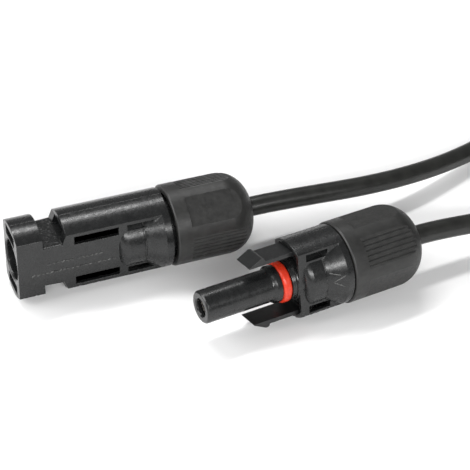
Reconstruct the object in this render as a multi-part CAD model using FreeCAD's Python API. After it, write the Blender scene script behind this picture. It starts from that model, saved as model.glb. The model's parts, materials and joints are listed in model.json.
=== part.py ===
# A pair of single-pole solar cable couplers on one short cable.
#
# Both couplers lie on a flat surface, on the round rims of their gland nuts, with z = 0 at that
# surface. Each coupler is first built in its own frame: x = 0 at its mating end, +X along its axis
# towards the cable, y across it, z up. It is then turned about its axis, yawed and put in place.
# The part's origin is the middle of the base of the box around the two couplers.
import FreeCAD, Part
import os
from math import cos, pi, sin, tan

V = FreeCAD.Vector

# ---- cable ----
CABLE_R = 2.45            # outer jacket
CONDUCTOR_R = 1.25        # stranded copper
CORE_R = 1.8              # inner insulation

# ---- body shared by both couplers: a round body with two flats ----
BODY_R = 9.65
CORE_TUBE_R = 5.4         # inner tube in front of the seal chamber
CHAMBER_R = 7.55          # outside of the seal chamber, which stands out of the flats
COVER_WALL = 1.25
SIDE_WALL = 1.0

# ---- gland nut, seal and clamp cage, measured from the nut's front face ----
NUT_R = 10.0
NUT_LENGTH = 21.3
NUT_DOME_R = 7.2
NUT_HOLE_R = 2.95
NUT_BORE_R = 8.05
NUT_BORE_DEPTH = 12.3
NUT_CONE_R0 = 6.9         # inner cone that closes the clamp fingers
NUT_CONE_R1 = 4.3
NUT_CONE_END = 18.9
FACET_START = 3.7
FACET_APOTHEM = 9.27
RIB_GROOVE_WIDTH = 0.42
RIB_GROOVE_DEPTH = 0.27
RIB_GROOVE_PITCH = 1.2
RIB_GROOVES = 6
SLEEVE_END = 9.3          # rear end of the housing's threaded sleeve
THREAD_ROOT_R = 7.35
THREAD_CREST_R = 7.85
THREAD_PITCH = 1.5
THREAD_START = 1.2
THREAD_TURNS = 4.5
SEAL_R = 6.1
SEAL_CHAMBER_R = 6.15
SEAL_START = 1.5
SEAL_END = 10.0
CAGE_START = 10.1
CAGE_RING_END = 11.9
CAGE_RING_R = 7.4
CAGE_BORE_R = 2.75
CAGE_END = 18.3
CAGE_GAP = 0.15           # between the fingers and the nut's cone
CAGE_FINGERS = 8
JACKET_END = 1.2          # where the outer jacket is stripped

# ---- contacts, measured from the rear face of the wall that carries them ----
FLANGE_R = 3.0
FLANGE_START = 0.1
FLANGE_END = 1.3
NECK_R = 2.3
CLIP_START = 1.5
CLIP_END = 4.5
BARREL_START = 4.7
BARREL_END = 11.2
BARREL_R = 2.55
POCKET_R = 3.5
PASSAGE_R = 3.1
POCKET_END = 4.8

# ---- male coupler ----
MALE_FLAT = 5.70
MALE_MOUTH = 6.28         # length of the mouth block
WINDOW_FLOOR = 5.4
WINDOW_REAR = 10.9
WINDOW_REAR_TOP = 11.85
MOUTH_BORE_R = 4.95
MOUTH_BORE_DEPTH = 4.8
GUIDE_BORE_R = 4.1
LATCH_CHANNEL_HALF = 3.4
LATCH_CHANNEL_TOP = 8.3
LATCH_CHANNEL_FLOOR = 5.6
SLOT_LOW = 4.75
SLOT_HIGH = 6.9
MALE_WALL = 22.8          # front face of the wall that carries the pin
WALL_THICK = 2.0
PIN_R = 2.0
PIN_ROOT_R = 1.8          # the pin is a little thinner where the wall carries it
PIN_ROOT_START = 22.4
PIN_TIP = 9.0
MALE_SHOULDER = 24.6      # start of the seal chamber's rounded front
MALE_BAND = (27.3, 30.7)
MALE_CONE = (31.1, 35.5)
MALE_COLLAR = 37.4
MALE_NUT = 38.3

# ---- female coupler ----
FEMALE_FLAT = 5.34
PROBE_R = 3.95
PROBE_HOLE_R = 2.15
PROBE_TIP_WALL = 1.2
PROBE_BORE_R = 2.95
PROBE_STEP = (17.2, 18.0)
PROBE_STEP_R = 4.55
RING_GROOVE = (19.3, 21.7)
RING_GROOVE_R = 3.6
RING_R = 5.02
RING_WIDTH = 2.2
PROBE_FLANGE_R = 4.9
HOOD_FRONT = 23.1
HOOD_POCKET = 25.2
FEMALE_SHOULDER = 24.3
FEMALE_BAND = (26.2, 29.1)
FEMALE_CONE = (29.4, 33.8)
FEMALE_COLLAR = 35.55
FEMALE_NUT = 35.7
FEMALE_WALL_REAR = 22.6
SOCKET_R = 2.85
SOCKET_BORE_R = 2.45
SOCKET_END = 12.5
STEM_R = 2.4
LATCH_HALF = 3.06
LATCH_TIP = 11.75
LATCH_INNER = 7.2
LATCH_OUTER = 8.2
LATCH_HOOK = 8.95
LATCH_PIVOT = (25.0, 7.7)
LATCH_PIVOT_R = 0.75
LATCH_SOCKET_R = 0.82

# ---- where the couplers lie; the nuts rest on z = 0 ----
ORIGIN = V(-46.05, 13.73, 0)    # moves the middle of the couplers' base to the part's origin
MALE_PLACE = (V(0, 0, NUT_R) + ORIGIN, 0.0, 0.0)
FEMALE_PLACE = (V(35.14, -32.01, NUT_R) + ORIGIN, 7.13, -11.4)
MALE_NUT_TURN = 50.0           # direction of a smooth facet, from -Y upwards
FEMALE_NUT_TURN = 90.0

# ---- the free cable: hand-laid route points, before ORIGIN is added ----
COIL_CENTRE = V(180.0, -4.0, 0)
COIL_RADII = (21.5, 32.75)     # centre lines of the innermost and outermost turns
COIL_LAYERS = (2.95, 7.9)      # heights of the centre lines of the two layers
MALE_ROUTE = [(39.5, 0, 10), (68, 0, 10), (99, 0.5, 7.6), (127, 9.7, 3.4), (153, 22.2, 2.6),
              (180, 28.75, 2.95)]
FEMALE_ROUTE = [(71.75, -27.43, 10), (98, -24.15, 10), (124.5, -23.2, 7.2), (143, -31.5, 2.6),
                (157, -36, 2.8), (169.5, -37.2, 5.6), (181, -36.75, 7.9)]
TIE_ANGLE = -25.0
TIE_WIDTH = 4.0
TIE_THICK = 0.5


def block(x0, x1, y0, y1, z0, z1):
    return Part.makeBox(x1 - x0, y1 - y0, z1 - z0, V(x0, y0, z0))


def rod(x0, x1, radius):
    return Part.makeCylinder(radius, x1 - x0, V(x0, 0, 0), V(1, 0, 0))


def turned(start, *steps):
    """A solid of revolution about X. A step is (x, r), or ((xm, rm), (x, r)) for an arc through the first."""
    edges = []
    here = V(start[0], start[1], 0)
    for step in steps + (start,):
        if isinstance(step[0], tuple):
            through = V(step[0][0], step[0][1], 0)
            there = V(step[1][0], step[1][1], 0)
            edges.append(Part.Arc(here, through, there).toShape())
        else:
            there = V(step[0], step[1], 0)
            edges.append(Part.LineSegment(here, there).toShape())
        here = there
    return Part.Face(Part.Wire(edges)).revolve(V(0, 0, 0), V(1, 0, 0), 360)


def flatted(x0, x1, radius, half_flat):
    return rod(x0, x1, radius).common(block(x0, x1, -half_flat, half_flat, -radius, radius))


def side_prism(points, y0, y1):
    """Extrudes an (x, z) outline across y."""
    corners = [V(x, y0, z) for x, z in points]
    return Part.Face(Part.makePolygon(corners + corners[:1])).extrude(V(0, y1 - y0, 0))


def turn_x(shape, angle):
    turned_shape = shape.copy()
    turned_shape.rotate(V(0, 0, 0), V(1, 0, 0), angle)
    return turned_shape


def both_sides(shape):
    return shape.fuse(turn_x(shape, 180))


# ---------------------------------------------------------------- shared pieces

def chamber_outline(shoulder, band, cone, collar, sleeve_end, front):
    """Outside of the core from `front` to the end of the threaded sleeve."""
    mid = (shoulder + 0.29 * (band[0] - shoulder), CORE_TUBE_R + 0.71 * (CHAMBER_R - CORE_TUBE_R))
    return turned((front, 0), (front, CORE_TUBE_R), (shoulder, CORE_TUBE_R), (mid, (band[0], CHAMBER_R)),
                  (band[1], CHAMBER_R), (band[1], CHAMBER_R - 0.25), (cone[0], CHAMBER_R - 0.25),
                  (cone[0], CHAMBER_R - 0.1), (cone[1], BODY_R), (collar - 0.2, BODY_R),
                  (collar, BODY_R - 0.2), (collar, THREAD_ROOT_R), (sleeve_end - 0.4, THREAD_ROOT_R),
                  (sleeve_end, THREAD_ROOT_R - 0.3), (sleeve_end, 0))


def chamber_bores(wall_rear, nut):
    """Pocket for the contact's clip, passage for its crimp barrel, and the seal chamber."""
    pocket = rod(wall_rear, wall_rear + POCKET_END, POCKET_R)
    passage = rod(wall_rear, nut + SEAL_START, PASSAGE_R)
    seat = nut + SEAL_START - 0.1
    chamber = rod(seat, nut + SLEEVE_END + 1, SEAL_CHAMBER_R)
    return [pocket, passage, chamber]


def thread_ridge(nut):
    """External helical ridge on the sleeve; its foot reaches a little into the sleeve."""
    height = THREAD_PITCH * THREAD_TURNS
    helix = Part.makeHelix(THREAD_PITCH, height, THREAD_ROOT_R)
    foot = THREAD_ROOT_R - 0.1
    outline = [V(foot, 0, -0.5), V(THREAD_CREST_R, 0, -0.17), V(THREAD_CREST_R, 0, 0.17), V(foot, 0, 0.5)]
    ridge = Part.Wire(helix).makePipeShell([Part.makePolygon(outline + outline[:1])], True, True)
    ridge.rotate(V(0, 0, 0), V(0, 1, 0), 90)
    ridge.translate(V(nut + THREAD_START, 0, 0))
    return ridge


def gland_nut(nut, smooth_angle):
    dome_x = NUT_LENGTH - NUT_DOME_R
    dome_r = NUT_R - NUT_DOME_R
    half = sin(pi / 4) * NUT_DOME_R
    body = turned((0, NUT_BORE_R + 0.4), (0, NUT_R - 0.3), (0.3, NUT_R), (dome_x, NUT_R),
                  ((dome_x + half, dome_r + half), (NUT_LENGTH, dome_r)),
                  (NUT_CONE_END, NUT_HOLE_R), (NUT_CONE_END, NUT_CONE_R1), (NUT_BORE_DEPTH, NUT_CONE_R0),
                  (NUT_BORE_DEPTH, NUT_BORE_R), (0.4, NUT_BORE_R))
    cuts = []
    facet = block(FACET_START, NUT_LENGTH + 1, -NUT_R, NUT_R, FACET_APOTHEM, NUT_R + 1)
    groove = block(FACET_START - 0.01, NUT_LENGTH + 1, -RIB_GROOVE_WIDTH / 2, RIB_GROOVE_WIDTH / 2,
                   FACET_APOTHEM - RIB_GROOVE_DEPTH, NUT_R)
    middle = (RIB_GROOVES - 1) / 2
    grooves = [groove.translated(V(0, RIB_GROOVE_PITCH * (k - middle), 0)) for k in range(RIB_GROOVES)]
    ribbed_facet = facet.fuse(grooves)
    for side in range(6):
        shave = ribbed_facet if side % 2 else facet
        cuts.append(turn_x(shave, 90 - smooth_angle + 60 * side))
    shape = body.cut(cuts)
    shape.translate(V(nut, 0, 0))
    return shape


def cable_seal(nut):
    """Rubber bush with two shallow outer grooves and rounded ends."""
    x0, x1 = nut + SEAL_START, nut + SEAL_END
    waist = SEAL_R - 0.5
    return turned((x0, CABLE_R), (x0, SEAL_R - 0.5), (x0 + 0.5, SEAL_R), (x0 + 2.4, SEAL_R),
                  (x0 + 2.8, waist), (x0 + 3.6, waist), (x0 + 4.0, SEAL_R), (x0 + 5.2, SEAL_R),
                  (x0 + 5.6, waist), (x0 + 6.4, waist), (x0 + 6.8, SEAL_R), (x1 - 0.5, SEAL_R),
                  (x1, SEAL_R - 0.5), (x1, CABLE_R))


def clamp_cage(nut):
    """Ring behind the seal with tapered fingers that the nut's cone closes on the cable."""
    slope = (NUT_CONE_R0 - NUT_CONE_R1) / (NUT_CONE_END - NUT_BORE_DEPTH)
    root_x = nut + CAGE_RING_END + 0.5
    root_r = NUT_CONE_R0 - slope * (root_x - nut - NUT_BORE_DEPTH) - CAGE_GAP - 0.1
    tip_r = NUT_CONE_R0 - slope * (CAGE_END - NUT_BORE_DEPTH) - CAGE_GAP - 0.1
    shape = turned((nut + CAGE_START, CAGE_BORE_R), (nut + CAGE_START, CAGE_RING_R - 0.2),
                   (nut + CAGE_START + 0.2, CAGE_RING_R), (nut + CAGE_RING_END, CAGE_RING_R),
                   (nut + CAGE_RING_END, root_r), (root_x, root_r), (nut + CAGE_END, tip_r),
                   (nut + CAGE_END, CAGE_BORE_R))
    slit = block(nut + CAGE_RING_END + 0.6, nut + CAGE_END + 1, -0.4, 0.4, 0, NUT_R)
    slits = [turn_x(slit, 360.0 * k / CAGE_FINGERS) for k in range(CAGE_FINGERS)]
    return shape.cut(slits)


def contact_rear(wall_rear, front_outline):
    """Flange, neck and crimp barrel, added to a contact's front outline, with its inspection hole."""
    w = wall_rear
    shape = turned((w + FLANGE_START, 0), (w + FLANGE_START, FLANGE_R), (w + FLANGE_END, FLANGE_R),
                   (w + FLANGE_END, NECK_R), (w + BARREL_START, NECK_R), (w + BARREL_START, BARREL_R),
                   (w + BARREL_END, BARREL_R), (w + BARREL_END, CONDUCTOR_R + 0.05),
                   (w + BARREL_START + 1.1, CONDUCTOR_R + 0.05), (w + BARREL_START + 1.1, 0))
    hole = Part.makeCylinder(0.55, BARREL_R + 1, V(w + BARREL_START + 1.9, 0, 0), V(0, 0, 1))
    return shape.fuse(front_outline).cut(hole)


def contact_clip(wall_rear):
    """Spring steel sleeve on the contact's neck with three tangs that catch behind the pocket's step."""
    w = wall_rear
    sleeve = rod(w + CLIP_START, w + CLIP_END, NECK_R + 0.3).cut(rod(w, w + POCKET_END, NECK_R + 0.03))
    cone = turned((w + CLIP_START + 0.2, NECK_R + 0.2), (w + CLIP_START + 0.2, NECK_R + 0.45),
                  (w + CLIP_END - 0.1, POCKET_R - 0.1), (w + CLIP_END - 0.1, POCKET_R - 0.35))
    tangs = [cone.common(turn_x(block(w, w + CLIP_END, -0.9, 0.9, 0, POCKET_R), 120.0 * k)) for k in range(3)]
    return sleeve.fuse(tangs)


def conductor(wall_rear, nut):
    return rod(wall_rear + BARREL_START + 1.2, nut + JACKET_END, CONDUCTOR_R)


def core_insulation(wall_rear, nut):
    x0, x1 = wall_rear + BARREL_END + 0.3, nut + JACKET_END
    return rod(x0, x1, CORE_R).cut(rod(x0 - 1, x1 + 1, CONDUCTOR_R + 0.02))


# ---------------------------------------------------------------- male coupler

def male_housing():
    shell = flatted(0, MALE_CONE[1] + 0.9, BODY_R, MALE_FLAT)
    inner_r = BODY_R - COVER_WALL
    inner_flat = MALE_FLAT - SIDE_WALL
    tube = rod(0, MALE_COLLAR, CORE_TUBE_R)
    front_cavity = flatted(WINDOW_REAR_TOP + 1.0, MALE_SHOULDER + 0.2, inner_r, inner_flat).cut(tube)
    chamber = chamber_outline(MALE_SHOULDER, MALE_BAND, MALE_CONE, MALE_COLLAR, MALE_NUT + SLEEVE_END,
                              WINDOW_REAR_TOP)
    rear_cavity = flatted(MALE_BAND[0] - 1.2, MALE_CONE[1] - 2.0, inner_r, inner_flat + 0.01).cut(chamber)
    window = side_prism([(MALE_MOUTH, WINDOW_FLOOR), (WINDOW_REAR, WINDOW_FLOOR), (WINDOW_REAR_TOP, 7.8),
                         (WINDOW_REAR_TOP, 12), (MALE_MOUTH, 12)], -MALE_FLAT - 1, MALE_FLAT + 1)
    half = LATCH_CHANNEL_HALF
    channel = block(-1, MALE_MOUTH + 1, -half, half, LATCH_CHANNEL_FLOOR, LATCH_CHANNEL_TOP)
    behind = block(MALE_MOUTH + 1, WINDOW_REAR_TOP + 1.5, -half, half, WINDOW_FLOOR, LATCH_CHANNEL_TOP - 0.3)
    across = MALE_FLAT + 1
    slots = [block(13.85, 24.75, -across, across, SLOT_LOW, SLOT_HIGH).cut(rod(0, 40, CORE_TUBE_R)),
             block(26.85, 33.4, -across, across, SLOT_LOW + 0.55, SLOT_HIGH)]
    shell = shell.cut([front_cavity, rear_cavity])
    shell = shell.cut([both_sides(cut) for cut in [window, channel, behind] + slots])
    shape = shell.fuse(chamber)
    bores = [rod(-1, MOUTH_BORE_DEPTH, MOUTH_BORE_R),
             Part.makeCone(MOUTH_BORE_R + 0.35, MOUTH_BORE_R, 0.35, V(0, 0, 0), V(1, 0, 0)),
             rod(0, MALE_WALL, GUIDE_BORE_R), rod(0, MALE_WALL + WALL_THICK + 1, PIN_R + 0.05)]
    shape = shape.cut(bores + chamber_bores(MALE_WALL + WALL_THICK, MALE_NUT))
    return shape.removeSplitter().fuse(thread_ridge(MALE_NUT))


def male_contact_pin():
    wall_rear = MALE_WALL + WALL_THICK
    flange = wall_rear + FLANGE_START
    tip = turned((PIN_TIP, 0), (PIN_TIP, 0.7), ((PIN_TIP + 0.45, 1.65), (PIN_TIP + 1.5, PIN_R)),
                 (PIN_ROOT_START, PIN_R), (PIN_ROOT_START, PIN_ROOT_R), (flange, PIN_ROOT_R), (flange, 0))
    return contact_rear(wall_rear, tip)


# ---------------------------------------------------------------- female coupler

def female_housing():
    shell = flatted(HOOD_FRONT, FEMALE_CONE[1] + 0.8, BODY_R, FEMALE_FLAT)
    inner_r = BODY_R - COVER_WALL + 0.2
    inner_flat = FEMALE_FLAT - SIDE_WALL + 0.05
    chamber = chamber_outline(FEMALE_SHOULDER, FEMALE_BAND, FEMALE_CONE, FEMALE_COLLAR,
                              FEMALE_NUT + SLEEVE_END, RING_GROOVE[1] + 1.0)
    probe = turned((0, 0), (0, PROBE_R - 0.4), (0.4, PROBE_R), (PROBE_STEP[0], PROBE_R),
                   (PROBE_STEP[1], PROBE_STEP_R), (RING_GROOVE[0], PROBE_STEP_R),
                   (RING_GROOVE[0], RING_GROOVE_R), (RING_GROOVE[1], RING_GROOVE_R),
                   (RING_GROOVE[1], PROBE_FLANGE_R), (FEMALE_SHOULDER, PROBE_FLANGE_R), (FEMALE_SHOULDER, 0))
    pocket = flatted(HOOD_FRONT - 1, HOOD_POCKET, inner_r, inner_flat)
    deep = flatted(HOOD_POCKET - 0.1, FEMALE_CONE[1] - 1.6, inner_r, inner_flat).cut(chamber)
    window = block(25.3, 30.9, -FEMALE_FLAT - 1, FEMALE_FLAT + 1, 5.85, 7.5)
    shell = shell.cut([pocket, deep, both_sides(window)])
    px, pz = LATCH_PIVOT
    half = LATCH_HALF + 0.4
    seat = block(px + 0.15, px + 1.9, -half, half, 6.6, 8.9)
    socket = Part.makeCylinder(LATCH_SOCKET_R, 2 * half, V(px, -half, pz), V(0, 1, 0))
    shape = shell.fuse([chamber, probe, both_sides(seat)])
    clear = block(20, px + 0.05, -LATCH_HALF - 0.3, LATCH_HALF + 0.3, 5.95, LATCH_OUTER + 0.25)
    bores = [rod(-1, PROBE_TIP_WALL + 1, PROBE_HOLE_R),
             Part.makeCone(PROBE_HOLE_R + 0.3, PROBE_HOLE_R, 0.3, V(0, 0, 0), V(1, 0, 0)),
             rod(PROBE_TIP_WALL, FEMALE_WALL_REAR + 1, PROBE_BORE_R), both_sides(clear), both_sides(socket)]
    shape = shape.cut(bores + chamber_bores(FEMALE_WALL_REAR, FEMALE_NUT))
    return shape.removeSplitter().fuse(thread_ridge(FEMALE_NUT))


def probe_o_ring():
    """Sealing ring, wider than it is tall, in the groove of the probe."""
    mid = (RING_GROOVE[0] + RING_GROOVE[1]) / 2
    inner = RING_GROOVE_R + 0.01
    height = RING_R - inner
    flat = RING_WIDTH - height
    x0, x1 = mid - flat / 2, mid + flat / 2
    return turned((x0, inner), ((x0 - height / 2, inner + height / 2), (x0, RING_R)), (x1, RING_R),
                  ((x1 + height / 2, inner + height / 2), (x1, inner)))


def female_contact_socket():
    w = FEMALE_WALL_REAR
    front = turned((1.5, SOCKET_BORE_R), (1.5, SOCKET_R - 0.2), (1.7, SOCKET_R), (SOCKET_END, SOCKET_R),
                   (SOCKET_END + 0.4, STEM_R), (w + FLANGE_START, STEM_R), (w + FLANGE_START, 0),
                   (SOCKET_END - 0.6, 0), (SOCKET_END - 0.6, SOCKET_BORE_R))
    return contact_rear(w, front)


def female_contact_band():
    """Louvred spring band that lines the socket and grips the pin."""
    band = turned((3.0, 2.12), (3.0, SOCKET_BORE_R - 0.03), (10.6, SOCKET_BORE_R - 0.03), (10.6, 2.12),
                  (9.4, 2.04), (4.2, 2.04))
    slots = [turn_x(block(4.0, 9.6, -0.2, 0.2, 0, 4), 36.0 * k) for k in range(10)]
    return band.cut(slots)


def latch():
    """Upper latch: an arm with a wedge hook at its free end and a knuckle at its root."""
    px, pz = LATCH_PIVOT
    outline = [(LATCH_TIP, LATCH_INNER), (LATCH_TIP, LATCH_INNER + 0.2), (LATCH_TIP + 3.0, LATCH_HOOK),
               (LATCH_TIP + 3.5, LATCH_HOOK), (LATCH_TIP + 3.95, LATCH_HOOK - 0.25),
               (LATCH_TIP + 4.1, LATCH_OUTER), (px, LATCH_OUTER), (px, LATCH_INNER)]
    arm = side_prism(outline, -LATCH_HALF, LATCH_HALF)
    knuckle = Part.makeCylinder(LATCH_PIVOT_R, 2 * LATCH_HALF, V(px, -LATCH_HALF, pz), V(0, 1, 0))
    return arm.fuse(knuckle).removeSplitter()


# ---------------------------------------------------------------- cable

def shifted(points):
    return [V(*p) + ORIGIN for p in points]


def routed_tube(points, name):
    """Straight runs joined by tangent arcs, each as large as its two runs allow."""
    radii = []
    edges = []
    here = points[0]
    for before, corner, after in zip(points, points[1:], points[2:]):
        into = corner - before
        run_in, run_out = into.Length, (after - corner).Length
        u = V(into).normalize()
        w = V(after - corner).normalize()
        half_turn = u.getAngle(w) / 2
        reach = 0.45 * min(run_in, run_out)
        radius = reach / tan(half_turn)
        start, end = corner - u * reach, corner + w * reach
        bisector = V(w - u).normalize()
        middle = corner + bisector * (radius / cos(half_turn) - radius)
        edges.append(Part.LineSegment(here, start).toShape())
        edges.append(Part.Arc(start, middle, end).toShape())
        radii.append(radius)
        here = end
    edges.append(Part.LineSegment(here, points[-1]).toShape())
    path = Part.Wire(edges)
    direction = (points[1] - points[0]).normalize()
    section = Part.Wire(Part.makeCircle(CABLE_R, points[0], direction))
    tube = path.makePipeShell([section], True, False)
    print(name, "length", round(path.Length, 1), "radii", [round(r, 1) for r in radii],
          "volume ratio", round(tube.Volume / (pi * CABLE_R ** 2 * path.Length), 4))
    return tube


def cable_coil():
    """Outer shape of the coiled, put-away length: four and a half turns in two layers."""
    inner, outer = COIL_RADII[0] - CABLE_R, COIL_RADII[1] + CABLE_R
    height = COIL_LAYERS[1] - COIL_LAYERS[0] + 2 * CABLE_R
    base = COIL_CENTRE + ORIGIN + V(0, 0, COIL_LAYERS[0] - CABLE_R)
    return Part.makeCylinder(outer, height, base).cut(Part.makeCylinder(inner, height, base))


def coil_tie():
    """Flat strap round the coil's section, with a small buckle on top."""
    inner, outer = COIL_RADII[0] - CABLE_R - 0.2, COIL_RADII[1] + CABLE_R + 0.1
    base = COIL_LAYERS[0] - CABLE_R
    top = COIL_LAYERS[1] + CABLE_R + 0.1
    half = TIE_WIDTH / 2
    strap = block(inner - TIE_THICK, outer + TIE_THICK, -half, half, 0, top + TIE_THICK)
    strap = strap.cut(block(inner, outer, -half - 1, half + 1, base - 0.02, top))
    middle = (inner + outer) / 2
    buckle = block(middle - 2.6, middle + 2.6, -half - 0.5, half + 0.5, top + 0.01, top + 2.0)
    shape = strap.fuse(buckle.makeFillet(0.4, buckle.Edges)).removeSplitter()
    shape.rotate(V(0, 0, 0), V(0, 0, 1), TIE_ANGLE)
    shape.translate(COIL_CENTRE + ORIGIN)
    return shape


# ---------------------------------------------------------------- assembly

def placed(shape, place):
    position, yaw, roll = place
    rotation = FreeCAD.Rotation(V(0, 0, 1), yaw).multiply(FreeCAD.Rotation(V(1, 0, 0), roll))
    moved = shape.copy()
    moved.Placement = FreeCAD.Placement(position, rotation).multiply(shape.Placement)
    return moved


def coupler_nodes(prefix, wall_rear, nut, nut_turn):
    return {
        prefix + "_contact_clip": contact_clip(wall_rear),
        prefix + "_conductor": conductor(wall_rear, nut),
        prefix + "_core_insulation": core_insulation(wall_rear, nut),
        prefix + "_seal": cable_seal(nut),
        prefix + "_clamp_cage": clamp_cage(nut),
        prefix + "_nut": gland_nut(nut, nut_turn),
    }


def build():
    male = {"male_housing": male_housing(), "male_contact_pin": male_contact_pin()}
    male.update(coupler_nodes("male", MALE_WALL + WALL_THICK, MALE_NUT, MALE_NUT_TURN))
    female = {"female_housing": female_housing(), "female_contact_socket": female_contact_socket(),
              "female_contact_band": female_contact_band(), "probe_o_ring": probe_o_ring(),
              "upper_latch": latch(), "lower_latch": turn_x(latch(), 180)}
    female.update(coupler_nodes("female", FEMALE_WALL_REAR, FEMALE_NUT, FEMALE_NUT_TURN))
    nodes = {name: placed(shape, MALE_PLACE) for name, shape in male.items()}
    nodes.update({name: placed(shape, FEMALE_PLACE) for name, shape in female.items()})
    nodes["male_cable"] = routed_tube(shifted(MALE_ROUTE), "male_cable")
    nodes["female_cable"] = routed_tube(shifted(FEMALE_ROUTE), "female_cable")
    nodes["cable_coil"] = cable_coil()
    nodes["coil_tie"] = coil_tie()
    return nodes


def main():
    os.makedirs("parts", exist_ok=True)
    for name, shape in build().items():
        if not shape.isValid() or len(shape.Solids) < 1:
            print("not a good solid:", name)
        print(name, "solids", len(shape.Solids), "volume", round(shape.Volume, 2))
        shape.exportStep("parts/" + name + ".step")


main()
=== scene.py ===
"""Looks of the solar cable connector: two single-pole couplers on one short cable, built on the CAD frame.

Everything is in metres, in the frame of the CAD model: +X along the male coupler towards its cable, +Z up,
and the couplers lie on z = 0. Sizes in a coupler's own frame, and those of the strap and its slide, are in
millimetres.
"""

from math import cos, pi, radians, sin
import json
import random

import bmesh
import bpy
from mathutils import Matrix, Vector, noise


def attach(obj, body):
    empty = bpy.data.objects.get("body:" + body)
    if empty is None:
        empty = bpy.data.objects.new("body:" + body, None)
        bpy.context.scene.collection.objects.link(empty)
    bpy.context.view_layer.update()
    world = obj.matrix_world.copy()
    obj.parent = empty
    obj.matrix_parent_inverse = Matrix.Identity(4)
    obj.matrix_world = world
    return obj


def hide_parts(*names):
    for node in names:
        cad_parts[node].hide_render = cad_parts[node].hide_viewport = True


MM = 0.001
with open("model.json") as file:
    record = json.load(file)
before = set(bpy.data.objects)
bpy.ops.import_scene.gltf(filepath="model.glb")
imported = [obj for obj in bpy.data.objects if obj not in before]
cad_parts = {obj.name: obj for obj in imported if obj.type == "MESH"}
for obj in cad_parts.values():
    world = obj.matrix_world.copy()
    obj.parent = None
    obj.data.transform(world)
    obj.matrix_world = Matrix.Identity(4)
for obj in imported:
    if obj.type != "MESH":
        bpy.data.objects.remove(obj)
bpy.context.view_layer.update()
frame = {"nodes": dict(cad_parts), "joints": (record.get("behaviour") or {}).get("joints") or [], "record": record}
nodes = frame["nodes"]


def record_row(kind, name):
    """The named row of the frame's joints, or of another list in its record."""
    rows = frame["joints"] if kind == "joints" else frame["record"][kind]
    return next(row for row in rows if row["name"] == name)


class Coupler:
    """A coupler's own frame: x = 0 at its mating end, x along its axis to the cable, y across it, z up."""

    def __init__(self, axis, across, origin):
        self.x = Vector(axis).normalized()
        self.y = Vector(across).normalized()
        self.z = self.x.cross(self.y)
        self.origin = origin

    def at(self, x, y, z):
        """The point (x, y, z), given in millimetres in the coupler's frame."""
        return self.origin + (self.x * x + self.y * y + self.z * z) * MM


MOUTH_DEPTH = 2.5        # x of the mating_mouth mount, mm
PROBE_HOLE_DEPTH = 0.75  # x of the probe_hole mount, mm
male_axis = Vector(record_row("joints", "male_nut_turn")["axis"])
female_axis = Vector(record_row("joints", "female_nut_turn")["axis"])
male = Coupler(male_axis, (0, 1, 0),
               Vector(record_row("mounts", "mating_mouth")["pos_m"]) - male_axis * MOUTH_DEPTH * MM)
female = Coupler(female_axis, -Vector(record_row("joints", "upper_latch_flex")["axis"]),
                 Vector(record_row("mounts", "probe_hole")["pos_m"]) - female_axis * PROBE_HOLE_DEPTH * MM)

# ---------------------------------------------------------------- camera

CAMERA_TARGET = Vector((0.0077, 0.00696, 0.00784))
CAMERA_DISTANCE = 0.41817
CAMERA_AZIMUTH = radians(-22.60)
CAMERA_ELEVATION = radians(37.18)
CAMERA_ROLL = radians(1.35)
CAMERA_LENS = 132.57
CAMERA_SENSOR = 36.0
CAMERA_CLIP = (0.01, 20.0)


def make_camera():
    data = bpy.data.cameras.new("camera")
    data.lens = CAMERA_LENS
    data.sensor_width = CAMERA_SENSOR
    data.clip_start, data.clip_end = CAMERA_CLIP
    camera = bpy.data.objects.new("camera", data)
    bpy.context.scene.collection.objects.link(camera)
    a, e = CAMERA_AZIMUTH, CAMERA_ELEVATION
    back = Vector((sin(a) * cos(e), -cos(a) * cos(e), sin(e)))
    right = Vector((cos(a), sin(a), 0))
    up = back.cross(right)
    rolled_right = right * cos(CAMERA_ROLL) + up * sin(CAMERA_ROLL)
    rolled_up = up * cos(CAMERA_ROLL) - right * sin(CAMERA_ROLL)
    place = CAMERA_TARGET + back * CAMERA_DISTANCE
    rows = [[rolled_right[i], rolled_up[i], back[i], place[i]] for i in range(3)]
    camera.matrix_world = Matrix(rows + [[0, 0, 0, 1]])
    bpy.context.scene.camera = camera


# ---------------------------------------------------------------- cable

CABLE_D = 0.0049
ROUTE_ORIGIN = Vector((-0.04605, 0.01373, 0))
MALE_ROUTE = [(0.0395, 0, 0.010), (0.068, 0, 0.010), (0.099, 0.0005, 0.0076), (0.127, 0.0097, 0.0034),
              (0.153, 0.0222, 0.0026), (0.180, 0.02875, 0.00295)]
FEMALE_ROUTE = [(0.07175, -0.02743, 0.010), (0.098, -0.02415, 0.010), (0.1245, -0.0232, 0.0072),
                (0.143, -0.0315, 0.0026), (0.157, -0.036, 0.0028), (0.1695, -0.0372, 0.0056),
                (0.181, -0.03675, 0.0079)]
HELD_SHARE = 0.6          # share of a route's first run at which one more point holds the cable straight
COIL_CENTRE = Vector((0.180, -0.004, 0))
COIL_INNER = 0.0215       # centre line of the innermost turn
COIL_PITCH = 0.005        # from one turn to the next beside it
COIL_TURNS = 4.5
COIL_LAYERS = (0.00295, 0.0079)
COIL_CLIMB = 0.35         # share of a turn over which the cable climbs from the lower layer to the upper one
POINTS_PER_TURN = 16
ROUND_STEPS = 8           # bevel resolution of the cable's section
SPAN_STEPS = 10           # steps along each span of its curve


def smooth_step(t):
    t = min(1.0, max(0.0, t))
    return t * t * (3 - 2 * t)


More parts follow.
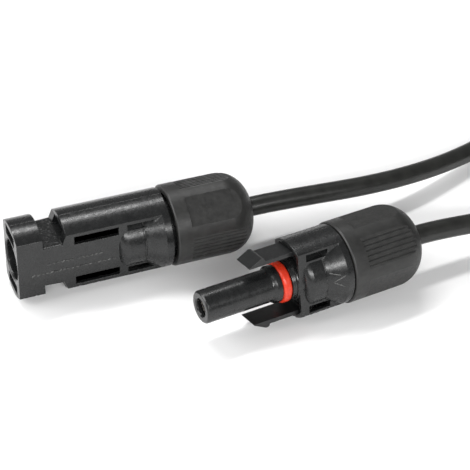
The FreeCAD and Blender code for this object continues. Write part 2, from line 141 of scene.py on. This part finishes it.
def coil_points():
    """Spirals in on the lower layer, climbs, and spirals out on the upper one, clockwise from above."""
    corner = 1 / cos(pi / POINTS_PER_TURN)     # a control point stands this much further out than its curve
    points = []
    for k in range(1, round(COIL_TURNS * POINTS_PER_TURN)):
        turn = k / POINTS_PER_TURN
        past_middle = turn - COIL_TURNS / 2
        radius = (COIL_INNER + COIL_PITCH * abs(past_middle)) * corner
        angle = pi / 2 - 2 * pi * turn
        climbed = smooth_step(past_middle / COIL_CLIMB + 0.5)
        height = COIL_LAYERS[0] + climbed * (COIL_LAYERS[1] - COIL_LAYERS[0])
        points.append(COIL_CENTRE + Vector((radius * cos(angle), radius * sin(angle), height)))
    return points


def held_straight(route):
    """The route with one more point on its first run, so that the cable leaves the gland nut straight."""
    first, second = Vector(route[0]), Vector(route[1])
    return [first, first.lerp(second, HELD_SHARE)] + [Vector(p) for p in route[1:]]


def make_cable():
    points = held_straight(MALE_ROUTE) + coil_points() + held_straight(FEMALE_ROUTE)[::-1]
    curve = bpy.data.curves.new("lead_cable", "CURVE")
    curve.dimensions = "3D"
    curve.bevel_depth = 1.0      # each point's radius scales it, so that the curve's own box is right too
    curve.bevel_resolution = ROUND_STEPS
    curve.resolution_u = SPAN_STEPS
    curve.use_fill_caps = True
    spline = curve.splines.new("NURBS")
    spline.points.add(len(points) - 1)
    for slot, point in zip(spline.points, points):
        slot.co = (*(point + ROUTE_ORIGIN), 1)
        slot.radius = CABLE_D / 2
    spline.order_u = 3
    spline.use_endpoint_u = True
    cable = bpy.data.objects.new("lead_cable", curve)
    bpy.context.scene.collection.objects.link(cable)
    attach(cable, "couplers")
    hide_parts("male_cable", "female_cable", "cable_coil")
    return cable


make_camera()
lead_cable = make_cable()


# ---------------------------------------------------------------- stage and lights

FLOOR_SIZE = 6.0
FLOOR_CENTRE = (0.05, 0, 0)
FLOOR_COLOUR = (0.9, 0.9, 0.9, 1)
FLOOR_ROUGHNESS = 0.9
WORLD_STRENGTH = 0.2
LIGHT_AIM = (0.02, 0, 0.01)
SOFT_BOXES = (            # name, place, size and power; every box faces LIGHT_AIM
    ("back_strip", (-0.07, 0.44, 0.95), (0.8, 0.12), 6.2),
    ("front_strip", (-0.2, -1.0, 0.62), (1.3, 0.16), 13.5),
    ("left", (-1.6, 0.35, 1.0), (1.3, 1.3), 30.0),
)


def make_stage():
    bpy.ops.mesh.primitive_plane_add(size=FLOOR_SIZE, location=FLOOR_CENTRE)
    floor = bpy.context.object
    floor.name = "floor"
    material = bpy.data.materials.new("pale_floor")
    material.use_nodes = True
    shader = material.node_tree.nodes["Principled BSDF"]
    shader.inputs["Base Color"].default_value = FLOOR_COLOUR
    shader.inputs["Roughness"].default_value = FLOOR_ROUGHNESS
    floor.data.materials.append(material)


def soft_box(name, place, size, power):
    data = bpy.data.lights.new(name, "AREA")
    data.shape = "RECTANGLE"
    data.size, data.size_y = size
    data.energy = power
    light = bpy.data.objects.new(name, data)
    light.location = place
    light.rotation_mode = "QUATERNION"
    light.rotation_quaternion = (Vector(LIGHT_AIM) - Vector(place)).to_track_quat("-Z", "Y")
    bpy.context.scene.collection.objects.link(light)


def make_lights():
    world = bpy.data.worlds.new("studio")
    world.use_nodes = True
    background = world.node_tree.nodes["Background"]
    background.inputs["Color"].default_value = (1, 1, 1, 1)
    background.inputs["Strength"].default_value = WORLD_STRENGTH
    bpy.context.scene.world = world
    bpy.context.scene.view_settings.view_transform = "Standard"
    for box in SOFT_BOXES:
        soft_box(*box)


make_stage()
make_lights()


# ---------------------------------------------------------------- materials

# Sockets of a Mix node: its inputs A and B and its result, for colours and for plain numbers.
COLOUR_A, COLOUR_B, COLOUR_RESULT = 6, 7, 2
NUMBER_A, NUMBER_B, NUMBER_RESULT = 2, 3, 0

# Of a noise's own range, the part that is spread over the full change.
MOTTLE_RANGE = (0.32, 0.68)
ROUGHNESS_RANGE = (0.3, 0.7)
RUB_AND_HIGHLIGHT_RANGE = (0.42, 0.62)

IOR = 1.5
ROUGHNESS_PERIOD = 0.35   # of the mottle's period
EDGE_TURN = (0.97, 0.80)  # cosines of an edge's turn: where its paler edge, wear and on the nuts also a painted highlight, starts to show, and where it shows fully
EDGE_ROUGHNESS = 0.5
EDGE_SAMPLES = 6
RUB_AND_HIGHLIGHT_PERIOD_MM = 1.7       # the patches that break up the paler edges, both wear and painted highlight
SCRATCH_PERIOD_MM = 0.22
SCRATCH_STRETCH = (26, 1, 1)
SCRATCH_TILT = (0.3, 0.2)
SCRATCH_WIDTH = 0.06      # share of the noise's range from bare surface to a scratch's floor
SCRATCH_DEPTH_MM = 0.004
WEAVE_SCALE = 650.0
WEAVE_DISTORTION = 0.6
WEAVE_DEPTH_MM = 0.05
WEAVE_STRENGTH = 0.7


class Finish:
    """A procedural material in object coordinates: mottled colour, uneven roughness and layers of bump."""

    def __init__(self, name, colour_a, colour_b, mottle_mm, roughness, metallic=0.0):
        self.material = bpy.data.materials.new(name)
        self.material.use_nodes = True
        self.tree = self.material.node_tree
        self.shader = self.tree.nodes["Principled BSDF"]
        self.shader.inputs["Metallic"].default_value = metallic
        self.shader.inputs["IOR"].default_value = IOR
        self.place = self.add("ShaderNodeTexCoord").outputs["Object"]
        self.normal = None
        mottle = self.noise(mottle_mm, detail=4.0)
        self.colour = self.mixed(self.spread(mottle, *MOTTLE_RANGE, 0, 1), colour_a, colour_b)
        uneven = self.noise(mottle_mm * ROUGHNESS_PERIOD, detail=3.0)
        self.rough = self.spread(uneven, *ROUGHNESS_RANGE, *roughness)

    def add(self, kind, **settings):
        node = self.tree.nodes.new(kind)
        for key, value in settings.items():
            setattr(node, key, value)
        return node

    def link(self, output, socket):
        self.tree.links.new(output, socket)

    def noise(self, period_mm, detail=2.0, stretch=(1, 1, 1), turn=None):
        """Noise with features of about period_mm, drawn out along an axis where stretch is over 1."""
        place = self.place
        if turn is not None:
            turned = self.add("ShaderNodeMapping", vector_type="TEXTURE")
            turned.inputs["Rotation"].default_value = turn
            self.link(place, turned.inputs["Vector"])
            place = turned.outputs["Vector"]
        scaled = self.add("ShaderNodeMapping")
        scaled.inputs["Scale"].default_value = [1 / (period_mm * MM * s) for s in stretch]
        texture = self.add("ShaderNodeTexNoise")
        texture.inputs["Scale"].default_value = 1.0
        texture.inputs["Detail"].default_value = detail
        self.link(place, scaled.inputs["Vector"])
        self.link(scaled.outputs["Vector"], texture.inputs["Vector"])
        return texture.outputs["Fac"]

    def spread(self, value, low, high, to_low, to_high):
        node = self.add("ShaderNodeMapRange")
        for socket, number in zip(("From Min", "From Max", "To Min", "To Max"), (low, high, to_low, to_high)):
            node.inputs[socket].default_value = number
        self.link(value, node.inputs["Value"])
        return node.outputs["Result"]

    def mixed(self, share, a, b):
        """Colour a where share is 0 and b where it is 1. Each is a colour or a socket."""
        node = self.add("ShaderNodeMix", data_type="RGBA")
        self.link(share, node.inputs["Factor"])
        for socket, colour in zip((node.inputs[COLOUR_A], node.inputs[COLOUR_B]), (a, b)):
            if isinstance(colour, tuple):
                socket.default_value = (*colour, 1)
            else:
                self.link(colour, socket)
        return node.outputs[COLOUR_RESULT]

    def bumps(self, height, depth_mm, strength=1.0):
        node = self.add("ShaderNodeBump")
        node.inputs["Distance"].default_value = depth_mm * MM
        node.inputs["Strength"].default_value = strength
        self.link(height, node.inputs["Height"])
        if self.normal is not None:
            self.link(self.normal, node.inputs["Normal"])
        self.normal = node.outputs["Normal"]
        return self

    def grain(self, period_mm, depth_mm, detail=2.0, stretch=(1, 1, 1)):
        """Fine relief over the whole surface, in lines along an axis where stretch is over 1."""
        return self.bumps(self.noise(period_mm, detail, stretch), depth_mm)

    def worn_and_highlit_edges(self, colour, radius_mm=0.25):
        """Rubbed, paler edges, broken up by noise. On the nuts the paler edges also stand in for the edges'
        highlights, as painted highlight.
        """
        bevel = self.add("ShaderNodeBevel", samples=EDGE_SAMPLES)
        bevel.inputs["Radius"].default_value = radius_mm * MM
        flat = self.add("ShaderNodeNewGeometry")
        dot = self.add("ShaderNodeVectorMath", operation="DOT_PRODUCT")
        self.link(bevel.outputs["Normal"], dot.inputs[0])
        self.link(flat.outputs["Normal"], dot.inputs[1])
        edge = self.spread(dot.outputs["Value"], *EDGE_TURN, 0, 1)
        rub_and_highlight_patches = self.spread(self.noise(RUB_AND_HIGHLIGHT_PERIOD_MM, detail=5.0), *RUB_AND_HIGHLIGHT_RANGE, 0, 1)
        both = self.add("ShaderNodeMath", operation="MULTIPLY")
        self.link(edge, both.inputs[0])
        self.link(rub_and_highlight_patches, both.inputs[1])
        share = both.outputs[0]
        self.colour = self.mixed(share, self.colour, colour)
        mix = self.add("ShaderNodeMix", data_type="FLOAT")
        self.link(share, mix.inputs["Factor"])
        self.link(self.rough, mix.inputs[NUMBER_A])
        mix.inputs[NUMBER_B].default_value = EDGE_ROUGHNESS
        self.rough = mix.outputs[NUMBER_RESULT]
        return self

    def scratches(self, angle, least=0.70):
        """Sparse fine scratches in one direction, where the noise is over least."""
        turn = (*SCRATCH_TILT, angle)
        lines = self.noise(SCRATCH_PERIOD_MM, detail=1.0, stretch=SCRATCH_STRETCH, turn=turn)
        return self.bumps(self.spread(lines, least, least + SCRATCH_WIDTH, 0, 1), -SCRATCH_DEPTH_MM)

    def finished(self):
        self.link(self.colour, self.shader.inputs["Base Color"])
        self.link(self.rough, self.shader.inputs["Roughness"])
        if self.normal is not None:
            self.link(self.normal, self.shader.inputs["Normal"])
        return self.material


def housing_plastic():
    """Black moulded polymer with a fine spark-eroded grain and a satin gloss."""
    finish = Finish("moulded_black", (0.0070, 0.0074, 0.0076), (0.0125, 0.0130, 0.0132), mottle_mm=2.6,
                    roughness=(0.22, 0.33))
    finish.grain(0.30, 0.007, detail=3.0).grain(2.4, 0.012)
    return finish.worn_and_highlit_edges((0.075, 0.075, 0.073)).scratches(angle=0.25).finished()


def nut_plastic():
    """Black polymer with a coarser, drier grain than the housings."""
    finish = Finish("nut_black", (0.0125, 0.0125, 0.012), (0.022, 0.022, 0.021), mottle_mm=1.9,
                    roughness=(0.38, 0.54))
    finish.grain(0.24, 0.016, detail=4.0).grain(0.09, 0.006)
    # Paler edges: wear, and a painted highlight along the nut's edges.
    finish.worn_and_highlit_edges((0.060, 0.060, 0.057), radius_mm=0.20)
    return finish.scratches(angle=1.1, least=0.74).finished()


def latch_plastic():
    """The housings' polymer, a little darker, on the sprung arms and the strap's slide."""
    finish = Finish("latch_black", (0.0065, 0.0068, 0.0070), (0.0115, 0.0120, 0.0122), mottle_mm=1.6,
                    roughness=(0.28, 0.42))
    return finish.grain(0.26, 0.009, detail=3.0).worn_and_highlit_edges((0.07, 0.07, 0.068), radius_mm=0.18).finished()


def rubbed_and_glinting_plastic():
    """The housings' polymer where raised marks have been rubbed smooth and a little pale; the paleness is also a
    painted glint on their tops.
    """
    finish = Finish("rubbed_black_painted_glint", (0.030, 0.031, 0.031), (0.105, 0.105, 0.102), mottle_mm=0.8,
                    roughness=(0.18, 0.30))
    return finish.grain(0.25, 0.006, detail=3.0).finished()


def ring_rubber():
    """Satin red silicone, a little translucent, with dust and a moulding haze."""
    finish = Finish("red_silicone", (0.55, 0.028, 0.010), (0.68, 0.046, 0.016), mottle_mm=1.3,
                    roughness=(0.24, 0.38))
    finish.shader.inputs["Subsurface Weight"].default_value = 0.05
    finish.shader.inputs["Subsurface Radius"].default_value = (0.0012, 0.0003, 0.0002)
    finish.shader.inputs["Subsurface Scale"].default_value = 0.6
    return finish.grain(0.35, 0.006, detail=3.0).grain(0.10, 0.002).finished()


def black_rubber():
    """Dull black rubber of the glands' seals."""
    finish = Finish("gland_rubber", (0.016, 0.016, 0.016), (0.030, 0.030, 0.031), mottle_mm=1.1,
                    roughness=(0.62, 0.82))
    return finish.grain(0.18, 0.012, detail=4.0).finished()


def clamp_plastic():
    """Dark grey polyamide of the clamp cages."""
    finish = Finish("clamp_polyamide", (0.040, 0.040, 0.042), (0.058, 0.058, 0.060), mottle_mm=1.5,
                    roughness=(0.40, 0.58))
    return finish.grain(0.22, 0.008, detail=3.0).worn_and_highlit_edges((0.12, 0.12, 0.12), radius_mm=0.15).finished()


def tin_plate():
    """Tin-plated copper, with turning marks round the axis and a dull bloom."""
    finish = Finish("tin_plate", (0.66, 0.64, 0.60), (0.80, 0.79, 0.77), mottle_mm=1.4,
                    roughness=(0.20, 0.40), metallic=1.0)
    finish.grain(0.08, 0.003, detail=1.0, stretch=(1, 14, 14))
    return finish.grain(0.5, 0.004, detail=3.0).finished()


def spring_steel():
    """Rolled steel with fine lines along the strip."""
    finish = Finish("spring_steel", (0.46, 0.46, 0.47), (0.60, 0.60, 0.61), mottle_mm=0.9,
                    roughness=(0.26, 0.46), metallic=1.0)
    return finish.grain(0.07, 0.003, detail=1.0, stretch=(18, 1, 1)).finished()


def strand_copper():
    """Tinned copper with the lines of its strands."""
    finish = Finish("tinned_strand", (0.60, 0.52, 0.44), (0.74, 0.71, 0.67), mottle_mm=0.6,
                    roughness=(0.28, 0.46), metallic=1.0)
    return finish.grain(0.05, 0.002, detail=1.0, stretch=(12, 1, 1)).finished()


def core_polymer():
    """Pale insulation of the cable's core."""
    finish = Finish("core_polymer", (0.60, 0.59, 0.55), (0.72, 0.71, 0.68), mottle_mm=1.2,
                    roughness=(0.40, 0.55))
    return finish.grain(0.2, 0.006, detail=3.0).finished()


def jacket_rubber():
    """Satin black cable jacket with faint extrusion lines and handling marks."""
    finish = Finish("jacket_black", (0.0095, 0.0098, 0.0088), (0.0180, 0.0184, 0.0165), mottle_mm=3.2,
                    roughness=(0.28, 0.42))
    finish.grain(0.35, 0.012, stretch=(22, 1, 1)).grain(0.20, 0.008, detail=3.0)
    return finish.scratches(angle=0.1, least=0.71).finished()


def tie_fabric():
    """Woven hook-and-loop strap."""
    finish = Finish("strap_weave", (0.020, 0.020, 0.021), (0.042, 0.042, 0.044), mottle_mm=0.8,
                    roughness=(0.70, 0.88))
    for direction in ("X", "Z"):
        wave = finish.add("ShaderNodeTexWave", bands_direction=direction)
        wave.inputs["Scale"].default_value = WEAVE_SCALE
        wave.inputs["Distortion"].default_value = WEAVE_DISTORTION
        finish.link(finish.place, wave.inputs["Vector"])
        finish.bumps(wave.outputs["Fac"], WEAVE_DEPTH_MM, WEAVE_STRENGTH)
    finish.shader.inputs["Sheen Weight"].default_value = 0.25
    return finish.finished()


HOUSING = housing_plastic()
NUT = nut_plastic()
LATCH = latch_plastic()
# Pale material of the raised marks: rubbed wear and a painted glint.
RUBBED_AND_GLINTING = rubbed_and_glinting_plastic()
TIN = tin_plate()
STRAND = strand_copper()
JACKET = jacket_rubber()


def wear(piece, material):
    """Puts one material on the whole of a piece."""
    piece.data.materials.clear()
    piece.data.materials.append(material)


def new_piece(name, mesh, body, material):
    """Turns a bmesh into a piece that moves with body."""
    data = bpy.data.meshes.new(name)
    mesh.to_mesh(data)
    mesh.free()
    piece = bpy.data.objects.new(name, data)
    bpy.context.scene.collection.objects.link(piece)
    wear(piece, material)
    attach(piece, body)
    return piece


# ---------------------------------------------------------------- moulded pieces with rounded edges

CREASE = 18             # degrees; the CAD's curved faces turn by less than 9 from facet to facet
ROUND_CREASE = 50       # within a rounded edge
FLAT_TURN = 0.3         # degrees; facets that turn by less are joined
SAME_PLACE = 1e-7       # metres
LEAST_TURN = 32.0       # degrees; edges that turn by less stay as they are
NUT_LEAST_TURN = 24.0
ROOM_WIDTHS = 2.1       # an edge is rounded only where its neighbours are this many widths long
HOUSING_ROUND = 0.11    # widths of the rounded edges, mm
NUT_ROUND = 0.10
LATCH_ROUND = 0.05


def rounded_copy(node, name, width_mm, body, material, least_turn=LEAST_TURN):
    """A copy of a CAD node with its sharp edges rounded; edges that meet much finer detail stay sharp."""
    mesh = bmesh.new()
    mesh.from_mesh(nodes[node].data)
    bmesh.ops.remove_doubles(mesh, verts=mesh.verts, dist=SAME_PLACE)
    bmesh.ops.dissolve_limit(mesh, angle_limit=radians(FLAT_TURN), verts=mesh.verts, edges=mesh.edges)
    width = width_mm * MM
    room = {v: min(e.calc_length() for e in v.link_edges) for v in mesh.verts}
    sharp = [e for e in mesh.edges if len(e.link_faces) == 2 and e.calc_face_angle(0) > radians(least_turn)
             and min(room[v] for v in e.verts) > ROOM_WIDTHS * width]
    rounds = bmesh.ops.bevel(mesh, geom=sharp, offset=width, offset_type="OFFSET", segments=2, profile=0.5,
                             affect="EDGES", clamp_overlap=False, loop_slide=True)
    rounded = set(rounds["faces"])
    for edge in mesh.edges:
        limit = ROUND_CREASE if rounded.intersection(edge.link_faces) else CREASE
        edge.smooth = edge.calc_face_angle(pi) < radians(limit)
    for face in mesh.faces:
        face.smooth = True
    piece = new_piece(name, mesh, body, material)
    weighted = piece.modifiers.new("weighted_normals", "WEIGHTED_NORMAL")
    weighted.keep_sharp = True
    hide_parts(node)


for half in ("male", "female"):
    rounded_copy(f"{half}_housing", f"{half}_body_moulding", HOUSING_ROUND, "couplers",
                 HOUSING)
for half in ("male", "female"):
    rounded_copy(f"{half}_nut", f"{half}_gland_nut", NUT_ROUND, f"{half}_nut", NUT,
                 NUT_LEAST_TURN)
for latch in ("upper_latch", "lower_latch"):
    rounded_copy(latch, f"{latch}_arm", LATCH_ROUND, latch, LATCH)

# ---------------------------------------------------------------- small moulded details, in millimetres

BODY_R = 9.65
MALE_FLAT = 5.70          # from the male coupler's axis to each of its flats
RIDGE_PROFILE = ((-0.5, -0.5), (-0.43, 0.5), (-0.22, 0.92), (0, 1), (0.22, 0.92), (0.43, 0.5), (0.5, -0.5))
DETAIL_CREASE = 60        # degrees

SEAM_Y = 0.25             # the mould's halves meet beside the middle
SEAM_SIZE = (0.20, 0.05)  # a ridge's width and height, here and below
MALE_SEAM = ((0.3, 6.1), (12.1, 37.1))
FEMALE_SEAM = ((23.3, 35.3),)

MARK_SEED = 11
MARK_ROWS = (             # height of a row on the flat, tallest stroke, and the stretches of x that it fills
    (0.7, 1.25, ((7.4, 13.4), (14.9, 20.9))),
    (-1.75, 0.85, ((3.6, 11.2), (12.0, 16.6), (17.4, 23.6))),
)
MARK_SLANT = (-0.5, 0.5)  # share of the tallest stroke
MARK_REACH = (0.30, 0.42)  # half of a stroke's length along x
MARK_STEP = (0.95, 1.25)  # from one stroke to the next
MARK_SIZE = (0.32, 0.16)

CONE_X = (29.4, 33.8)     # where the female body's cone starts and ends, and its radius there
CONE_R = (7.45, BODY_R)
CHEVRON = (((33.2, 1.45), (31.9, 0.72), (30.6, 0)), ((30.6, 0), (31.9, -0.72), (33.2, -1.45)))
CHEVRON_SIZE = (0.28, 0.14)
BAR = ((29.9, 2.3), (31.0, 2.0), (32.1, 1.7))
BAR_SIZE = (0.24, 0.10)

WINDOW_X = (6.4, 10.8)
WINDOW_HALF = 5.5         # half of a window's width
WINDOW_FLOOR = 5.4        # from the axis
WINDOW_STEP = 0.16
WINDOW_RIM = -0.02        # the rim lies just under the floor
WINDOW_ROUGH = 0.10       # height of the texture
WINDOW_NOISE = 2.6        # noise periods in a millimetre
WINDOW_SEED = 7.0


def skin(mesh, rings):
    """Joins rings with equally many vertices into one closed tube."""
    corners = len(rings[0])
    for near, far in zip(rings, rings[1:]):
        for j in range(corners):
            k = (j + 1) % corners
            mesh.faces.new((near[j], near[k], far[k], far[j]))
    mesh.faces.new(rings[0])
    mesh.faces.new(rings[-1])


def ridge(mesh, path, size):
    """Adds a low rounded ridge along path, a list of points with the outward normals there."""
    width_mm, height_mm = size
    rings = []
    for i, (point, normal) in enumerate(path):
        ahead = path[min(i + 1, len(path) - 1)][0] - path[max(i - 1, 0)][0]
        side = ahead.cross(normal).normalized()
        rings.append([mesh.verts.new(point + (side * across * width_mm + normal * up * height_mm) * MM)
                      for across, up in RIDGE_PROFILE])
    skin(mesh, rings)


def detail_piece(name, mesh, material=HOUSING):
    bmesh.ops.recalc_face_normals(mesh, faces=mesh.faces)
    for face in mesh.faces:
        face.smooth = True
    for edge in mesh.edges:
        edge.smooth = edge.calc_face_angle(pi) < radians(DETAIL_CREASE)
    return new_piece(name, mesh, "couplers", material)


def parting_line(name, coupler, stretches):
    """The faint seam that the mould's halves leave along the top and the bottom of a body."""
    mesh = bmesh.new()
    for up in (1, -1):
        for stretch in stretches:
            ridge(mesh, [(coupler.at(x, SEAM_Y, up * BODY_R), coupler.z * up) for x in stretch], SEAM_SIZE)
    detail_piece(name, mesh)


def flat_marks():
    """Two rows of small raised strokes on each flat of the male body, with no meaning."""
    mesh = bmesh.new()
    chance = random.Random(MARK_SEED)
    for side in (-1, 1):
        for row_z, tallest, groups in MARK_ROWS:
            for start, end in groups:
                x = start
                while x < end:
                    height = tallest * chance.uniform(*MARK_SLANT)
                    reach = chance.uniform(*MARK_REACH)
                    ends = [(male.at(x + k * reach, side * MALE_FLAT, row_z + k * height / 2), male.y * side)
                            for k in (-1, 1)]
                    ridge(mesh, ends, MARK_SIZE)
                    x += chance.uniform(*MARK_STEP)
    # The strokes wear a pale material: rubbed wear and a painted glint on their tops.
    detail_piece("male_raised_marks", mesh, material=RUBBED_AND_GLINTING)


def on_cone(side, x, z):
    """A point on one side of the female body's cone, which widens towards the nut, and the normal there."""
    slope = (CONE_R[1] - CONE_R[0]) / (CONE_X[1] - CONE_X[0])
    radius = CONE_R[0] + (x - CONE_X[0]) * slope
    y = -side * (radius ** 2 - z ** 2) ** 0.5
    outward = (female.y * y + female.z * z) / radius - female.x * slope
    return female.at(x, y, z), outward.normalized()


def cone_chevrons():
    """A raised chevron and a bar on each side of the female body's cone."""
    mesh = bmesh.new()
    for side in (1, -1):
        for path, size in ((CHEVRON[0], CHEVRON_SIZE), (CHEVRON[1], CHEVRON_SIZE), (BAR, BAR_SIZE)):
            ridge(mesh, [on_cone(side, *point) for point in path], size)
    # The chevrons and bars wear the same pale material: rubbed wear and a painted glint.
    detail_piece("female_cone_marks", mesh, material=RUBBED_AND_GLINTING)


def window_grain():
    """Coarse spark-eroded texture on the floors of the male body's latch windows."""
    mesh = bmesh.new()
    columns = round((WINDOW_X[1] - WINDOW_X[0]) / WINDOW_STEP)
    rows = round(2 * WINDOW_HALF / WINDOW_STEP)
    for up in (1, -1):
        grid = []
        for i in range(columns + 1):
            line = []
            for j in range(rows + 1):
                x, y = WINDOW_X[0] + i * WINDOW_STEP, -WINDOW_HALF + j * WINDOW_STEP
                rim = i in (0, columns) or j in (0, rows)
                spot = Vector((x * WINDOW_NOISE, y * WINDOW_NOISE, up * WINDOW_SEED))
                rough = 0.0 if rim else 0.5 + 0.5 * noise.noise(spot)
                height = WINDOW_FLOOR + WINDOW_RIM + WINDOW_ROUGH * rough
                line.append(mesh.verts.new(male.at(x, y, up * height)))
            grid.append(line)
        for i in range(columns):
            for j in range(rows):
                mesh.faces.new((grid[i][j], grid[i + 1][j], grid[i + 1][j + 1], grid[i][j + 1]))
        far_side = [line[-1] for line in grid[1:]]
        near_side = [line[0] for line in grid[-2:0:-1]]
        mesh.faces.new(grid[0] + far_side + grid[-1][-2::-1] + near_side)
    detail_piece("male_window_grain", mesh)


parting_line("male_parting_line", male, MALE_SEAM)
parting_line("female_parting_line", female, FEMALE_SEAM)
flat_marks()
cone_chevrons()
window_grain()

# ---------------------------------------------------------------- strap round the coil, in millimetres

TIE_ANGLE = radians(-25)
TIE_WIDTH = 4.0
STRAP_THICK = 0.44
STRAP_X = (18.6, 34.8)       # centre lines of the strap's upright runs, from the coil's axis
STRAP_Z = (0.25, 10.7)       # centre lines of its lower and upper runs
STRAP_CORNER = 1.1
CORNER_STEPS = 6             # of 15 degrees each
TAIL_RISE = 0.5              # the strap's free end lies on its own upper run
TAIL_START = -5              # from the slide's middle
CLIMB_STEPS = 8
CLIMB_STEP = 0.5
FREE_POINTS = 8
FREE_STEP = 0.9
FREE_WAVE = 0.05
STRAP_PROFILE = ((-0.5, 0.1), (-0.47, 0.42), (-0.3, 0.5), (0, 0.53), (0.3, 0.5), (0.47, 0.42), (0.5, 0.1),
                 (0.5, -0.1), (0.47, -0.42), (0.3, -0.5), (0, -0.5), (-0.3, -0.5), (-0.47, -0.42),
                 (-0.5, -0.1))

SLIDE_X = sum(STRAP_X) / 2
SLIDE_Z = (10.5, 12.4)       # from the bottom of the rails to the top of the bars
RAIL_HALF_LENGTH = 2.6
RAIL_Y = 2.28
RAIL_WIDTH = 0.4
RAIL_DROP = 0.15             # from the bars' top to the rails' top
BAR_X = (-2.15, 0, 2.15)
BAR_HALF_LENGTH = 2.3
BAR_HALF_WIDTH = 0.4
BAR_BOTTOM = 11.5
SLIDE_ROUND = 0.13


def at_tie(x, y, z):
    """x outwards from the coil's axis, y along its turns and z up."""
    outward = Vector((cos(TIE_ANGLE), sin(TIE_ANGLE), 0))
    along = Vector((-sin(TIE_ANGLE), cos(TIE_ANGLE), 0))
    return COIL_CENTRE + ROUTE_ORIGIN + (outward * x + along * y + Vector((0, 0, z))) * MM


def strap_line():
    """The strap's centre line: from under the slide round the coil and back over itself to its free end."""
    (inner, outer), (bottom, top), r = STRAP_X, STRAP_Z, STRAP_CORNER
    line = [(SLIDE_X, top)]
    for x, z, start in ((outer - r, top - r, 90), (outer - r, bottom + r, 0),
                        (inner + r, bottom + r, -90), (inner + r, top - r, -180)):
        for k in range(CORNER_STEPS + 1):
            angle = radians(start - 90 / CORNER_STEPS * k)
            line.append((x + r * cos(angle), z + r * sin(angle)))
    for k in range(CLIMB_STEPS + 1):
        line.append((SLIDE_X + TAIL_START + CLIMB_STEP * k, top + TAIL_RISE * smooth_step(k / CLIMB_STEPS)))
    for k in range(FREE_POINTS):
        line.append((SLIDE_X + FREE_STEP * k, top + TAIL_RISE + FREE_WAVE * sin(k)))
    return line


def make_strap():
    mesh = bmesh.new()
    line = strap_line()
    rings = []
    for i, (x, z) in enumerate(line):
        before, after = line[max(i - 1, 0)], line[min(i + 1, len(line) - 1)]
        ahead = Vector((after[0] - before[0], after[1] - before[1])).normalized()
        up = Vector((-ahead.y, ahead.x))
        rings.append([mesh.verts.new(at_tie(x + up.x * rise * STRAP_THICK, across * TIE_WIDTH,
                                            z + up.y * rise * STRAP_THICK))
                      for across, rise in STRAP_PROFILE])
    skin(mesh, rings)
    return detail_piece("coil_strap", mesh, material=tie_fabric())


def make_slide():
    """Ladder slide: two side rails and three bars that the strap's free end is drawn under."""
    mesh = bmesh.new()
    bottom, top = SLIDE_Z
    blocks = [((SLIDE_X - RAIL_HALF_LENGTH, side * RAIL_Y - RAIL_WIDTH / 2, bottom),
               (SLIDE_X + RAIL_HALF_LENGTH, side * RAIL_Y + RAIL_WIDTH / 2, top - RAIL_DROP))
              for side in (-1, 1)]
    blocks += [((SLIDE_X + x - BAR_HALF_WIDTH, -BAR_HALF_LENGTH, BAR_BOTTOM),
                (SLIDE_X + x + BAR_HALF_WIDTH, BAR_HALF_LENGTH, top)) for x in BAR_X]
    for a, b in blocks:
        made = bmesh.ops.create_cube(mesh, size=1.0)["verts"]
        for vert in made:
            share = vert.co + Vector((0.5, 0.5, 0.5))
            vert.co = at_tie(*[a[i] + (b[i] - a[i]) * share[i] for i in range(3)])
        edges = {edge for vert in made for edge in vert.link_edges}
        bmesh.ops.bevel(mesh, geom=list(edges), offset=SLIDE_ROUND * MM, segments=2, profile=0.5,
                        affect="EDGES")
    return detail_piece("strap_slide", mesh, material=LATCH)


coil_strap = make_strap()
strap_slide = make_slide()
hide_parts("coil_tie")

# ---------------------------------------------------------------- materials of the CAD's own pieces

for node, material in {
        "male_contact_pin": TIN, "female_contact_socket": TIN, "female_contact_band": TIN,
        "probe_o_ring": ring_rubber(), "male_seal": black_rubber(), "female_seal": black_rubber(),
        "male_clamp_cage": clamp_plastic(), "female_clamp_cage": clamp_plastic(),
        "male_contact_clip": spring_steel(), "female_contact_clip": spring_steel(),
        "male_core_insulation": core_polymer(), "female_core_insulation": core_polymer(),
        "male_conductor": STRAND, "female_conductor": STRAND}.items():
    wear(nodes[node], material)
wear(lead_cable, JACKET)
